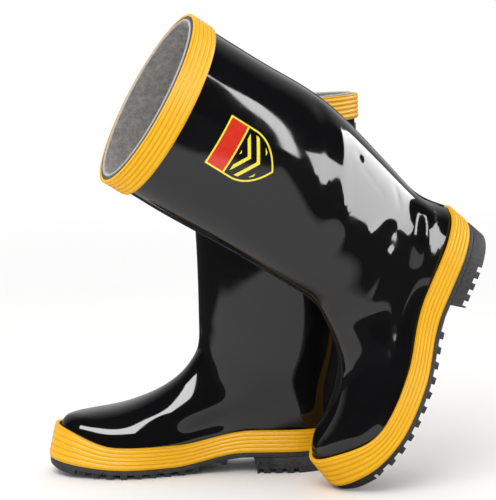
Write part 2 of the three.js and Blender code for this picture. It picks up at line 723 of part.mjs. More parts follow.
// ---- finishes ------------------------------------------------------------------------------
const finish = (color, roughness, metalness = 0) => (
  new THREE.MeshStandardMaterial({ color, roughness, metalness, side: THREE.DoubleSide })
);
const FINISH = {
  black: finish('#101012', 0.16),
  yellow: finish('#f2b620', 0.45),
  tread: finish('#2b2c30', 0.8),
  knit: finish('#73747a', 0.95),
  steel: finish('#9aa0a6', 0.35, 0.9),
  board: finish('#8d7a5c', 0.9),
  foam: finish('#3a3d42', 0.95),
  badge: finish('#c8321e', 0.4),
};

const PIECES = {
  upper: [upperShell, FINISH.black],
  lining: [linerShell, FINISH.knit],
  toe_cap: [toeCap, FINISH.steel],
  heel_counter: [heelCounter, FINISH.board],
  collar_band: [collarBand, FINISH.yellow],
  foxing_band: [foxingBand, FINISH.yellow],
  backstay: [backstay, FINISH.black],
  emblem: [emblem, FINISH.badge],
  outsole: [outsole, FINISH.tread],
  heel_block: [heelBlock, FINISH.tread],
  steel_midsole: [steelMidsole, FINISH.steel],
  steel_shank: [steelShank, FINISH.steel],
  sole_filler: [filler, FINISH.foam],
  insole_board: [insoleBoard, FINISH.board],
  insole: [insole, FINISH.foam],
};

// ---- the two boots -------------------------------------------------------------------------
// Bends a copy of a piece the way a raised foot bends the boot: open at the ankle, up at the toe.
function bend(geometry) {
  const bent = geometry.clone();
  const position = bent.attributes.position;
  const open = rad(ANKLE_BEND.angle);
  const curl = rad(BALL_BEND.angle);
  const [from, to] = [BALL_BEND.from * SOLE_LENGTH, BALL_BEND.to * SOLE_LENGTH];
  const radius = (to - from) / curl;
  for (let i = 0; i < position.count; i += 1) {
    let [x, z] = [position.getX(i), position.getZ(i)];
    const lean = -open * ease(z, ANKLE_BEND.from, ANKLE_BEND.to);
    const [dx, dz] = [x - ANKLE_BEND.x, z - ANKLE_BEND.z];
    x = ANKLE_BEND.x + Math.cos(lean) * dx + Math.sin(lean) * dz;
    z = ANKLE_BEND.z - Math.sin(lean) * dx + Math.cos(lean) * dz;
    if (x > from) {
      const angle = Math.min((x - from) / radius, curl);
      const past = Math.max(x - to, 0);
      const reach = BALL_BEND.height + radius - z;
      x = from + reach * Math.sin(angle) + past * Math.cos(angle);
      z = BALL_BEND.height + radius - reach * Math.cos(angle) + past * Math.sin(angle);
    }
    position.setXYZ(i, x, position.getY(i), z);
  }
  return bent;
}

function addPieces(group, side, shape) {
  for (const [name, [, material]] of Object.entries(PIECES)) {
    const geometry = shape(SHAPES[name]);
    geometry.computeVertexNormals();
    const mesh = new THREE.Mesh(geometry, material);
    mesh.name = `${side}_${name}`;
    group.add(mesh);
  }
}

const SHAPES = Object.fromEntries(
  Object.entries(PIECES).map(([name, [make]]) => [name, make()]),
);

const pair = new THREE.Group();

const rightBoot = new THREE.Group();
rightBoot.position.set(RIGHT_PLACE.x, RIGHT_PLACE.y, 0);
rightBoot.rotation.z = Math.PI + rad(RIGHT_PLACE.turn);
addPieces(rightBoot, 'right', (geometry) => geometry.clone());
pair.add(rightBoot);

const stance = new THREE.Group();
stance.position.set(LEFT_PLACE.x, LEFT_PLACE.y, LEFT_PLACE.lift);
stance.rotation.set(rad(LEFT_PLACE.roll), 0, rad(LEFT_PLACE.turn), 'ZXY');
const mirrored = new THREE.Group();
mirrored.scale.x = -1;
const pitched = new THREE.Group();
pitched.rotation.y = rad(LEFT_PLACE.pitch);
const leftBoot = new THREE.Group();
leftBoot.position.x = -LEFT_PLACE.pivot;
addPieces(leftBoot, 'left', bend);
pitched.add(leftBoot);
mirrored.add(pitched);
stance.add(mirrored);
pair.add(stance);

// The pair stands on the floor at z = 0 with its box centred on the origin.
pair.updateMatrixWorld(true);
const box = new THREE.Box3().setFromObject(pair, true);
pair.position.set(-(box.min.x + box.max.x) / 2, -(box.min.y + box.max.y) / 2, 0);
stance.position.z -= new THREE.Box3().setFromObject(stance, true).min.z;

export default pair;
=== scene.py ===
# A pair of glossy rubber fire boots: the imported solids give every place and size, and this script
# builds the visible surfaces, materials, light and camera around them. Lengths are in metres.
import json
import math

import bmesh
import bpy
from mathutils import Matrix, Vector, noise
from mathutils.bvhtree import BVHTree


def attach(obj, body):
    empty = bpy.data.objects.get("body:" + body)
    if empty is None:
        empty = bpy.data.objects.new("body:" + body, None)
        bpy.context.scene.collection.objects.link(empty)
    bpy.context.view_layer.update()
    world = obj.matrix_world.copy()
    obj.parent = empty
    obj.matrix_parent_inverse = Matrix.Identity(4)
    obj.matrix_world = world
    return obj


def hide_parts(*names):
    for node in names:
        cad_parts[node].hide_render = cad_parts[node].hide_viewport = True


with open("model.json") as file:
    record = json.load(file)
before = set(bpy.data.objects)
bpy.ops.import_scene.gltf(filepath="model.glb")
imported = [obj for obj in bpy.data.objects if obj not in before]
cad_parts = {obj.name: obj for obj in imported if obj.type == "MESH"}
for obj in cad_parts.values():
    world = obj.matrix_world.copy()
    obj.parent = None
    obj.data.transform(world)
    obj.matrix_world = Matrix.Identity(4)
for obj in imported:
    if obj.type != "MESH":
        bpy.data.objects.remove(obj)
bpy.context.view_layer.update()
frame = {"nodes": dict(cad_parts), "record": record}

MM = 0.001

# ---- sizes ---------------------------------------------------------------------------------
LEVELS = 3  # subdivision of the uppers
RUBBER = 2.6 * MM  # wall of the upper
LINER = 1.4 * MM
RIM_DEPTH = 6 * MM  # a shell's faces nearer to the mouth than this close its rim
BAND_CLEARANCE = 26 * MM  # the skins are evened out only farther than this from the foxing
WAVE = 0.22  # millimetres of slow unevenness in the moulded rubber
RIB_COUNT = 5
RIB_HEIGHT = 0.9 * MM
NARROWEST_FACE = 3.6 * MM  # a band's outer faces are wider than this, its edges narrower
LAP = 9 * MM  # half-length of the foxing strip's lapped joint
LAP_RISE = 0.6 * MM
OVERLAP = (-0.035, 0.050, 0.020)  # where the right foxing strip's ends lap, on the inner side
SIDES = ("right", "left")


# ---- mesh helpers --------------------------------------------------------------------------
def link(name, mesh):
    piece = bpy.data.objects.new(name, mesh)
    bpy.context.scene.collection.objects.link(piece)
    return piece


def mesh_from(name, points, faces):
    mesh = bpy.data.meshes.new(name)
    mesh.from_pydata([tuple(p) for p in points], [], faces)
    mesh.validate()
    mesh.update()
    return mesh


def merged(node):
    """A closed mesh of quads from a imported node's loose triangles."""
    bm = bmesh.new()
    bm.from_mesh(frame["nodes"][node].data)
    bmesh.ops.remove_doubles(bm, verts=bm.verts, dist=0.02 * MM)
    bmesh.ops.join_triangles(
        bm,
        faces=bm.faces,
        angle_face_threshold=math.radians(80),
        angle_shape_threshold=math.radians(180),
    )
    bm.normal_update()
    return bm


def islands(bm):
    """The connected groups of faces, largest area first."""
    left = set(bm.faces)
    groups = []
    while left:
        stack = [left.pop()]
        group = list(stack)
        while stack:
            for edge in stack.pop().edges:
                for face in edge.link_faces:
                    if face in left:
                        left.remove(face)
                        stack.append(face)
                        group.append(face)
        groups.append(group)
    return sorted(groups, key=lambda g: -sum(f.calc_area() for f in g))


def limit_point(vert):
    """Where the subdivision surface ends up at a control point."""
    if vert.is_boundary:
        rim = [e.other_vert(vert).co for e in vert.link_edges if e.is_boundary]
        return (rim[0] + vert.co * 4 + rim[1]) / 6
    n = len(vert.link_edges)
    centres = {f: f.calc_center_median() for f in vert.link_faces}
    mids = sum(((vert.co + e.other_vert(vert).co) / 2 for e in vert.link_edges), Vector())
    face_sum = sum(centres.values(), Vector())
    moved = (vert.co * (n - 3) + mids * (2 / n) + face_sum / n) / n
    edges = Vector()
    for e in vert.link_edges:
        around = sum((centres[f] for f in e.link_faces), Vector())
        edges += (vert.co + e.other_vert(vert).co + around) / 4
    return (moved * n * n + edges * 4 + face_sum) / (n * (n + 5))


def fair(verts, rounds=5):
    """Evens out small waves without shrinking: a smoothing step, then a little more back."""
    for step in (0.5, -0.53) * rounds:
        moves = [sum((e.other_vert(v).co for e in v.link_edges), Vector()) / len(v.link_edges)
                 - v.co for v in verts]
        for v, move in zip(verts, moves):
            v.co += move * step


def settle(bm, rounds=5):
    """Moves control points until the subdivision surface passes through where they started."""
    start = {v: v.co.copy() for v in bm.verts}
    for _ in range(rounds):
        limits = {v: limit_point(v) for v in bm.verts}
        for v in bm.verts:
            v.co += (start[v] - limits[v]) * 0.9


def evaluated(piece):
    graph = bpy.context.evaluated_depsgraph_get()
    return bpy.data.meshes.new_from_object(piece.evaluated_get(graph))


def baked(mesh, *modifiers):
    """A new mesh with the given modifiers applied; each is (type, settings)."""
    piece = link("scratch", mesh)
    for kind, settings in modifiers:
        modifier = piece.modifiers.new(kind.lower(), kind)
        for key, value in settings.items():
            setattr(modifier, key, value)
    done = evaluated(piece)
    bpy.data.objects.remove(piece)
    return done


def smooth_edges(mesh, angle=34):
    """Smooth shading with hard edges kept where faces meet more sharply than the angle."""
    bm = bmesh.new()
    bm.from_mesh(mesh)
    for face in bm.faces:
        face.smooth = True
    for edge in bm.edges:
        sharp = len(edge.link_faces) == 2 and edge.calc_face_angle() > math.radians(angle)
        edge.smooth = not sharp
    bm.to_mesh(mesh)
    bm.free()


def set_attribute(mesh, name, values):
    attribute = mesh.attributes.new(name, "FLOAT", "POINT")
    attribute.data.foreach_set("value", values)


def spline(points, steps):
    """A closed Catmull-Rom curve through lists of vectors, each list one station."""
    count = len(points)
    out = []
    for i in range(count):
        a, b, c, d = (points[(i + k) % count] for k in (-1, 0, 1, 2))
        for s in range(steps):
            t = s / steps
            out.append([
                0.5 * (2 * q + (r - p) * t + (2 * p - 5 * q + 4 * r - w) * t * t
                       + (3 * q - p - 3 * r + w) * t ** 3)
                for p, q, r, w in zip(a, b, c, d)
            ])
    return out


def sweep(name, sections, closed):
    """A skin over a row of sections with equal point counts."""
    size = len(sections[0])
    count = len(sections)
    points = [p for section in sections for p in section]
    faces = []
    for i in range(count if closed else count - 1):
        j = (i + 1) % count
        for k in range(size):
            m = (k + 1) % size
            faces.append((i * size + k, j * size + k, j * size + m, i * size + m))
    if not closed:
        faces.append(tuple(range(size)))
        faces.append(tuple((count - 1) * size + k for k in reversed(range(size))))
    return mesh_from(name, points, faces)


def outward(mesh):
    bm = bmesh.new()
    bm.from_mesh(mesh)
    bmesh.ops.recalc_face_normals(bm, faces=bm.faces)
    bm.to_mesh(mesh)
    bm.free()


# ---- where things are on each boot ---------------------------------------------------------
def band_rails(node):
    """The uprights of a band's outer face, in order round it: (lower point, upper point)."""
    bm = merged(node)
    middle = sum((v.co for v in bm.verts), Vector()) / len(bm.verts)
    upper = frame["nodes"][node.split("_")[0] + "_upper"].data
    above = sum((v.co for v in upper.vertices), Vector()) / len(upper.vertices) - middle
    if "collar" in node:
        above = -above
    outer = [f for f in bm.faces if narrowest(f) > NARROWEST_FACE and outside(f, middle, above)]
    face = outer[0]
    first = edge = upright(face, above)[0]
    rails = []
    while edge != first or not rails:
        low, high = sorted(edge.verts, key=lambda v: v.co.dot(above))
        rails.append((low.co.copy(), high.co.copy()))
        edge = [e for e in upright(face, above) if e != edge][0]
        face = [f for f in edge.link_faces if f != face][0]
    bm.free()
    return rails


def narrowest(face):
    return min(e.calc_length() for e in face.edges)


def outside(face, middle, above):
    away = face.calc_center_median() - middle
    away -= above * (away.dot(above) / above.length_squared)
    return face.normal.dot(away) > 0


def upright(face, above):
    """The two edges of a quad that run most nearly along a direction."""
    way = above.normalized()
    ranked = sorted(face.edges, key=lambda e: -abs(
        (e.verts[0].co - e.verts[1].co).normalized().dot(way)))
    return ranked[:2]


# ---- shader helpers ------------------------------------------------------------------------
def tone(code):
    """Linear colour from an sRGB hex code."""
    parts = [int(code[i:i + 2], 16) / 255 for i in (1, 3, 5)]
    linear = [c / 12.92 if c <= 0.04045 else ((c + 0.055) / 1.055) ** 2.4 for c in parts]
    return (*linear, 1.0)


class Shader:
    """A material's node tree with one short call for each node."""

    def __init__(self, name):
        self.material = bpy.data.materials.new(name)
        self.material.use_nodes = True
        self.tree = self.material.node_tree
        self.surface = self.tree.nodes["Principled BSDF"]
        self.place = self.add("ShaderNodeTexCoord").outputs["Object"]

    def add(self, kind, settings=None, **inputs):
        node = self.tree.nodes.new(kind)
        for key, value in (settings or {}).items():
            setattr(node, key, value)
        for key, value in inputs.items():
            self.feed(node, key, value)
        return node

    def feed(self, node, key, value):
        socket = node.inputs[int(key[1:]) if key[1:].isdigit() else key.replace("_", " ")]
        if isinstance(value, bpy.types.NodeSocket):
            self.tree.links.new(value, socket)
        else:
            socket.default_value = value

    def set(self, **inputs):
        for key, value in inputs.items():
            self.feed(self.surface, key, value)

    def noise(self, size, detail=2.0, rough=0.5):
        """Noise whose features are about the given size in millimetres."""
        return self.add("ShaderNodeTexNoise", Vector=self.place, Scale=1000 / size,
                        Detail=detail, Roughness=rough).outputs["Fac"]

    def span(self, value, low, high, to_low, to_high):
        return self.add("ShaderNodeMapRange", i0=value, i1=low, i2=high, i3=to_low,
                        i4=to_high).outputs["Result"]

    def math(self, operation, a, b=0.0):
        return self.add("ShaderNodeMath", {"operation": operation}, i0=a, i1=b).outputs[0]

    def mix(self, share, a, b):
        return self.add("ShaderNodeMix", {"data_type": "RGBA"}, i0=share, i6=a, i7=b).outputs[2]

    def attribute(self, name):
        return self.add("ShaderNodeAttribute", {"attribute_name": name}).outputs["Fac"]

    def bump(self, height, depth, under=None):
        """Relief of the given depth in millimetres."""
        inputs = {"Height": height, "Strength": 1.0, "Distance": depth * MM}
        if under is not None:
            inputs["Normal"] = under
        return self.add("ShaderNodeBump", **inputs).outputs["Normal"]


def black_rubber():
    # Dip-lacquered natural rubber: a deep gloss over a very slightly uneven moulding.
    s = Shader("lacquered_black_rubber")
    cloud = s.noise(38, 3)
    s.set(Base_Color=s.mix(cloud, tone("#0b0b0c"), tone("#111113")),
          Roughness=s.span(s.noise(9, 4), 0.3, 0.7, 0.045, 0.085), IOR=1.5)
    swell = s.bump(s.noise(30, 1), 0.03)
    s.set(Normal=s.bump(s.noise(1.6, 2), 0.0025, swell))
    return s.material


def yellow_rubber():
    # Extruded rubber strip: through-coloured, satin, with painted shade darkening each groove.
    s = Shader("satin_yellow_rubber")
    groove = s.attribute("groove")
    body = s.mix(s.noise(14, 4), tone("#eaac08"), tone("#f2b80e"))
    soiled = s.mix(s.span(s.noise(5, 4), 0.35, 0.7, 0.0, 0.14), body, tone("#cf9206"))
    # painted shade: the groove value darkens the grooves towards a deeper yellow
    s.set(Base_Color=s.mix(s.math("MULTIPLY", groove, 0.45), soiled, tone("#b87e04")),
          Roughness=s.span(s.noise(7, 3), 0.3, 0.7, 0.32, 0.42),
          Specular_IOR_Level=0.3, IOR=1.5)
    fine = s.bump(s.noise(0.7, 3), 0.02)
    s.set(Normal=s.bump(s.noise(9, 2), 0.10, fine))
    return s.material


def sole_rubber():
    # Compression-moulded sole compound with an eroded, sugary grain.
    s = Shader("grained_sole_rubber")
    grain = s.noise(1.5, 4, 0.75)
    dust = s.span(s.noise(16, 4), 0.45, 0.75, 0.0, 0.35)
    base = s.mix(s.span(grain, 0.44, 0.62, 0.0, 1.0), tone("#0f0f10"), tone("#3d3d40"))
    s.set(Base_Color=s.mix(dust, base, tone("#343437")),
          Roughness=s.span(grain, 0.35, 0.7, 0.55, 0.8), IOR=1.5)
    s.set(Normal=s.bump(grain, 0.45))
    return s.material


def knit_lining():
    # Brushed cotton knit bonded to the rubber: small loops in rows, with lint.
    s = Shader("brushed_knit_lining")
    rows = s.add("ShaderNodeTexWave", {"bands_direction": "Z"}, Vector=s.place, Scale=520.0,
                 Distortion=1.2, Detail=1.0, Detail_Scale=3.0).outputs["Fac"]
    wales = s.add("ShaderNodeTexVoronoi", Vector=s.place, Scale=760.0).outputs["Distance"]
    loops = s.math("MULTIPLY", rows, s.span(wales, 0.0, 0.7, 1.0, 0.3))
    lint = s.noise(6, 5, 0.7)
    yarn = s.mix(loops, tone("#6a6764"), tone("#b3afab"))
    s.set(Base_Color=s.mix(s.span(lint, 0.4, 0.7, 0.0, 0.5), yarn, tone("#c4c0bb")),
          Roughness=0.93, Sheen_Weight=0.4, Sheen_Roughness=0.5)
    s.set(Normal=s.bump(loops, 0.30, s.bump(s.noise(0.5, 4), 0.10)))
    return s.material


def binding_tape():
    # Woven edge tape over the lining's raw edge.
    s = Shader("woven_binding_tape")
    rib = s.noise(0.6, 2)
    s.set(Base_Color=s.mix(rib, tone("#8f8d8a"), tone("#c2c0bc")), Roughness=0.9,
          Sheen_Weight=0.3, Normal=s.bump(rib, 0.15))
    return s.material


def rolled_steel():
    # Rolled or pressed sheet: fine directional scratches and faint tarnish.
    s = Shader("rolled_steel")
    stretch = s.add("ShaderNodeMapping", Vector=s.place, Scale=(60.0, 900.0, 900.0))
    lines = s.add("ShaderNodeTexNoise", Vector=stretch.outputs[0], Scale=1.0, Detail=4.0)
    s.set(Base_Color=s.mix(s.noise(18, 4), tone("#8f9499"), tone("#b4b9be")), Metallic=1.0,
          Roughness=s.span(lines.outputs["Fac"], 0.3, 0.7, 0.28, 0.46))
    s.set(Normal=s.bump(lines.outputs["Fac"], 0.01))
    return s.material


def pressed_fibre():
    # Cellulose board: short matted fibres and flecks.
    s = Shader("pressed_fibre_board")
    fibre = s.noise(0.9, 6, 0.7)
    s.set(Base_Color=s.mix(fibre, tone("#6e5a41"), tone("#a58c68")), Roughness=0.9,
          Normal=s.bump(fibre, 0.08))
    return s.material


def cut_foam():
    # Microcellular foam, cut from sheet.
    s = Shader("cut_filler_foam")
    cells = s.add("ShaderNodeTexVoronoi", Vector=s.place, Scale=1400.0).outputs["Distance"]
    s.set(Base_Color=s.mix(cells, tone("#202124"), tone("#3c3e43")), Roughness=0.95,
          Normal=s.bump(cells, 0.12))
    return s.material


def needled_felt():
    # Needled felt insole with a slightly flattened, worn top.
    s = Shader("needled_felt")
    fibre = s.noise(0.8, 6, 0.75)
    worn = s.span(s.noise(40, 2), 0.4, 0.65, 0.0, 0.5)
    base = s.mix(fibre, tone("#2d3036"), tone("#54585f"))
    s.set(Base_Color=s.mix(worn, base, tone("#474a50")), Roughness=0.95,
          Sheen_Weight=0.3, Normal=s.bump(fibre, 0.22))
    return s.material


def emblem_print():
    # Screen print under the lacquer: flat inks on the black ground, a little uneven.
    s = Shader("printed_emblem")
    up, side = s.attribute("badge_v"), s.math("ABSOLUTE", s.attribute("badge_u"))
    field = s.math("GREATER_THAN", up, 10.0)
    divider = s.math("LESS_THAN", s.math("ABSOLUTE", s.math("SUBTRACT", up, 10.0)), 0.9)
    border = s.math("LESS_THAN", s.attribute("badge_edge"), 1.7)
    climb = s.math("ADD", up, s.math("MULTIPLY", side, -0.62))
    band = s.math("FRACT", s.math("DIVIDE", s.math("ADD", climb, 40.0), 11.0))
    inside = s.math("GREATER_THAN", s.attribute("badge_edge"), 4.2)
    low = s.math("MULTIPLY", s.math("LESS_THAN", up, 5.5), s.math("GREATER_THAN", up, -19.0))
    chevron = s.math("MULTIPLY", s.math("LESS_THAN", band, 0.36), s.math("MULTIPLY", inside, low))
    gold = s.math("MAXIMUM", s.math("MAXIMUM", divider, border), chevron)
    mottle = s.noise(4, 3)
    ground = s.mix(field, tone("#0d0d0e"), s.mix(mottle, tone("#c02a1c"), tone("#d8382a")))
    s.set(Base_Color=s.mix(gold, ground, s.mix(mottle, tone("#e2cf38"), tone("#f0e04c"))),
          Roughness=s.span(mottle, 0.3, 0.7, 0.06, 0.1), IOR=1.5)
    s.set(Normal=s.bump(s.noise(1.6, 2), 0.0025))
    return s.material


def pale_floor():
    # Seamless paper: bright far off. In glossy rays it is painted dark outside one lit patch, so
    # the lacquer mirrors painted shade there and the patch as a painted pool of light.
    s = Shader("pale_floor")
    spot = s.add("ShaderNodeSeparateXYZ", i0=s.place)
    x, y = spot.outputs[0], spot.outputs[1]
    front = s.math("SUBTRACT", s.math("MULTIPLY", x, -0.57), 0.64)
    edges = [s.span(s.math("SUBTRACT", y, front), -0.02, 0.04, 0.0, 1.0),
             s.span(x, -0.72, -0.62, 0.0, 1.0),
             s.span(s.math("ADD", s.math("MULTIPLY", y, 1.1), x), 0.03, -0.04, 0.0, 1.0)]
    lit = s.math("MULTIPLY", s.math("MULTIPLY", edges[0], edges[1]), edges[2])
    rays = s.add("ShaderNodeLightPath")
    # painted shade: outside the lit patch, glossy rays see a dim glow instead of the floor
    glossy_painted_shade = s.math("MULTIPLY", rays.outputs["Is Glossy Ray"], s.math("SUBTRACT", 1.0, lit))
    far = s.math("MULTIPLY", s.span(s.add("ShaderNodeVectorMath", {"operation": "LENGTH"},
                                          i0=s.place).outputs["Value"], 0.5, 2.6, 0.0, 1.0),
                 rays.outputs["Is Camera Ray"])
    s.set(Base_Color=s.mix(s.noise(300, 2), tone("#f0efee"), tone("#f4f3f3")), Roughness=0.9,
          Specular_IOR_Level=0.1)
    white = s.add("ShaderNodeEmission", Color=(1, 1, 1, 1), Strength=1.0)
    dark = s.add("ShaderNodeEmission", Color=(1, 1, 1, 1), Strength=0.06)
    pale = s.add("ShaderNodeMixShader", i0=far, i1=s.surface.outputs[0], i2=white.outputs[0])
    final = s.add("ShaderNodeMixShader", i0=glossy_painted_shade, i1=pale.outputs[0], i2=dark.outputs[0])
    s.feed(s.tree.nodes["Material Output"], "Surface", final.outputs[0])
    return s.material


INK = {
    "black_rubber": black_rubber(),
    "yellow_rubber": yellow_rubber(),
    "sole_rubber": sole_rubber(),
    "knit_lining": knit_lining(),
    "binding": binding_tape(),
    "steel": rolled_steel(),
    "fibre_board": pressed_fibre(),
    "filler_foam": cut_foam(),
    "insole_felt": needled_felt(),
    "emblem_film": emblem_print(),
}


def dress(piece, ink, body, *nodes, slot=None):
    """Gives a finished piece its material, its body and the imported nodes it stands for."""
    piece.data.materials.clear()
    piece.data.materials.append(INK[ink])
    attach(piece, body)
    if nodes:
        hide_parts(*nodes)
    return piece


# ---- uppers --------------------------------------------------------------------------------
def mouth(side):
    """Centre of the collar's rim and the direction out of the boot there."""
    rails = band_rails(side + "_collar_band")
    top = sum((high for _, high in rails), Vector()) / len(rails)
    low = sum((low for low, _ in rails), Vector()) / len(rails)
    return top, (top - low).normalized()


def skin(node, centre, out, inner=False):
    """The outer or the inner face of a sock-shaped shell, open at the mouth, smoothly curved."""
    bm = merged(node)
    rim = [f for f in bm.faces if all((v.co - centre).dot(out) > -RIM_DEPTH for v in f.verts)]
    bmesh.ops.delete(bm, geom=rim, context="FACES_ONLY")
    layers = islands(bm)
    bmesh.ops.delete(bm, geom=layers[0 if inner else 1], context="FACES")
    loose = [v for v in bm.verts if not v.link_faces]
    bmesh.ops.delete(bm, geom=loose, context="VERTS")
    band = [high for _, high in band_rails(node.split("_")[0] + "_foxing_band")]
    free = [v for v in bm.verts if not v.is_boundary
            and min((v.co - p).length for p in band) > BAND_CLEARANCE]
    fair(free)
    bm.normal_update()
    settle(bm, 3)
    mesh = bpy.data.meshes.new(node + "_skin")
    bm.to_mesh(mesh)
    bm.free()
    return baked(mesh, ("SUBSURF", {"levels": LEVELS, "render_levels": LEVELS}))


# Hollows and creases of the raised boot's bent ankle. Each runs from one point to another, with
# its half-width and its depth (below zero for a ridge), all in millimetres.
FOLDS = [
    ((60, -60, 395), (64, -75, 310), 10, 1.0),
    ((80, -56, 372), (79, -67, 300), 6, -0.9),
    ((84, -66, 271), (104, -55, 269), 17, -3.4),
    ((98, -48, 348), (99, -49, 346), 3.5, 0.6),
    ((103, -49, 334), (122, -40, 308), 2.4, 0.3),
    ((137, -25, 312), (140, -29, 294), 3.0, 0.5),
    ((132, -36, 266), (146, -30, 238), 14, 2.2),
    ((167, -6, 280), (162, -14, 236), 15, -4.5),
    ((131, -38, 248), (113, -38, 205), 4.0, -0.8),
]


def pressed(mesh, folds):
    """Moves a skin's points along their normals: slow waves everywhere and the listed folds."""
    moves = []
    for v in mesh.vertices:
        wave = noise.noise(v.co * 17) * 0.5 + noise.noise(v.co * 41) * 0.16
        depth = wave * WAVE * MM
        for start, end, width, drop in folds:
            a, b = Vector(start) * MM, Vector(end) * MM
            t = min(max((v.co - a).dot(b - a) / (b - a).length_squared, 0), 1)
            gap = (v.co - a.lerp(b, t)).length / (width * MM)
            depth -= drop * MM * math.exp(-gap * gap)
        moves.append(v.normal * depth)
    for v, move in zip(mesh.vertices, moves):
        v.co += move
    mesh.update()


def shell(name, mesh, thickness, offset):
    return link(name, baked(mesh, ("SOLIDIFY", {
        "thickness": thickness, "offset": offset, "use_even_offset": True, "use_rim": True})))


def upper(side):
    """The rubber shell of one boot; returns its outer surface for the pieces that lie on it."""
    centre, out = mouth(side)
    mesh = skin(side + "_upper", centre, out)
    pressed(mesh, FOLDS if side == "left" else [])
    tree = BVHTree.FromPolygons([v.co.copy() for v in mesh.vertices],
                                [tuple(p.vertices) for p in mesh.polygons])
    piece = shell(side + "_shaft_rubber", mesh, RUBBER, -1)
    smooth_edges(piece.data, 50)
    dress(piece, "black_rubber", side + "_boot", side + "_upper")
    return tree


def lining(side):
    """The knit inside the rubber, with the tape over its edge."""
    centre, out = mouth(side)
    mesh = skin(side + "_lining", centre, out, inner=True)
    pressed(mesh, FOLDS if side == "left" else [])
    for polygon in mesh.polygons:
        polygon.flip()
    piece = shell(side + "_knit_lining", mesh, LINER, -1)
    outward(piece.data)
    smooth_edges(piece.data, 60)
    dress(piece, "knit_lining", side + "_boot", side + "_lining")
    binding(side, mesh, out)


def binding(side, mesh, out):
    """Thin tape rolled over the lining's raw edge."""
    bm = bmesh.new()
    bm.from_mesh(mesh)
    edge = next(e for e in bm.edges if e.is_boundary)
    first, vertex = edge, edge.verts[0]
    loop = []
    while edge != first or not loop:
        loop.append(vertex.co.copy())
        edge = next(e for e in vertex.link_edges if e.is_boundary and e != edge)
        vertex = edge.other_vert(vertex)
    bm.free()
    middle = sum(loop, Vector()) / len(loop)
    rows = []
    for spot in loop:
        away = spot - middle
        away = (away - out * away.dot(out)).normalized()
        rows.append([spot + away * (0.7 + 1.1 * math.cos(a)) * MM + out * (1.3 * math.sin(a)) * MM
                     for a in (math.pi * k / 4 for k in range(8))])
    ring = sweep(side + "_binding_ring", rows, closed=True)
    outward(ring)
    piece = link(side + "_lining_binding", ring)
    smooth_edges(ring, 80)
    dress(piece, "binding", side + "_boot", slot="knit_lining")


# ---- bands ---------------------------------------------------------------------------------
def rib_profile(ribs, height, thickness, lip):
    """Outline of a ribbed strip: share of its width, distance out, and how deep in a groove, which
    sets the painted shade there.
    """
    outline = [(0.0, -thickness, 0.4), (0.0, -0.5 * MM, 0.5), (0.012, -0.1 * MM, 0.2)]
    steps = 8
    edge = 0.05
    for k in range(ribs * steps + 1):
        t = k / (ribs * steps)
        swell = abs(math.sin(math.pi * t * ribs))
        bulge = height * swell ** 0.85
        outline.append((edge + t * (1 - 2 * edge), bulge, (1 - swell) ** 1.6))
    outline += [(0.975, lip, 0.0), (0.99, lip * 0.7, 0.0), (1.0, -0.2 * MM, 0.2),
                (1.0, -thickness, 0.4)]
    return outline


def band(name, side, node, profile, steps, overlap=None):
    """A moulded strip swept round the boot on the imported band's uprights."""
    rails = band_rails(side + "_" + node)
    middle = sum((low + high for low, high in rails), Vector()) / (2 * len(rails))
    stations = []
    for (low, high), before, after in zip(rails, rails[-1:] + rails, rails[1:] + rails[:1]):
        along = after[0] + after[1] - before[0] - before[1]
        stations.append([low, high, along.cross(high - low).normalized()])
    low, high, normal = stations[0]
    turn = 1 if normal.dot((low + high) / 2 - middle) > 0 else -1
    rows, grooves = [], []
    for low, high, normal in spline(stations, steps):
        lap = overlap is not None and (low - Vector(overlap)).length < LAP
        row = []
        for share, out, groove in profile:
            spot = low.lerp(high, share)
            if out > 0:
                out += noise.noise(spot * 45) * 0.12 * MM + (LAP_RISE if lap else 0)
            row.append(spot + normal * (turn * out))
            grooves.append(groove)
        rows.append(row)
    mesh = sweep(name, rows, closed=True)
    # the groove values are read by the yellow rubber as painted shade in the grooves
    set_attribute(mesh, "groove", grooves)
    outward(mesh)
    smooth_edges(mesh, 55)
    return link(name, mesh)


# ---- backstay ------------------------------------------------------------------------------
def backstay(side, tree):
    """A narrow strip with two soft ridges up the back of the boot, lying on the rubber."""
    bm = merged(side + "_backstay")
    middle = sum((v.co for v in bm.verts), Vector()) / len(bm.verts)
    tip = max(bm.verts, key=lambda v: (v.co - middle).length).co
    layer = sorted(bm.verts, key=lambda v: (v.co - tip).length)[:6]
    seen, line = set(layer), []
    while layer:
        line.append(sum((v.co for v in layer), Vector()) / len(layer))
        layer = list({e.other_vert(v) for v in layer for e in v.link_edges} - seen)
        seen.update(layer)
    bm.free()
    rows = []
    for start, end in zip(line, line[1:]):
        for k in range(4):
            spot = start.lerp(end, k / 4)
            _, facing, _, _ = tree.find_nearest(spot)
            across = (end - start).cross(facing).normalized()
            row = []
            for offset, height in ((-4.4, 0.1), (-3.6, 0.9), (-2.4, 1.35), (-1.2, 0.9), (0, 0.45),
                                   (1.2, 0.9), (2.4, 1.35), (3.6, 0.9), (4.4, 0.1)):
                base, normal, _, _ = tree.find_nearest(spot + across * offset * MM)
                row.append(base + normal * height * MM)
            for offset in (4.4, 0, -4.4):
                base, normal, _, _ = tree.find_nearest(spot + across * offset * MM)
                row.append(base - normal * 0.6 * MM)
            rows.append(row)
    mesh = sweep(side + "_backstay_strip", rows, closed=False)
    outward(mesh)
    piece = link(side + "_backstay_moulding", mesh)
    smooth_edges(mesh, 60)
    dress(piece, "black_rubber", side + "_boot", side + "_backstay")


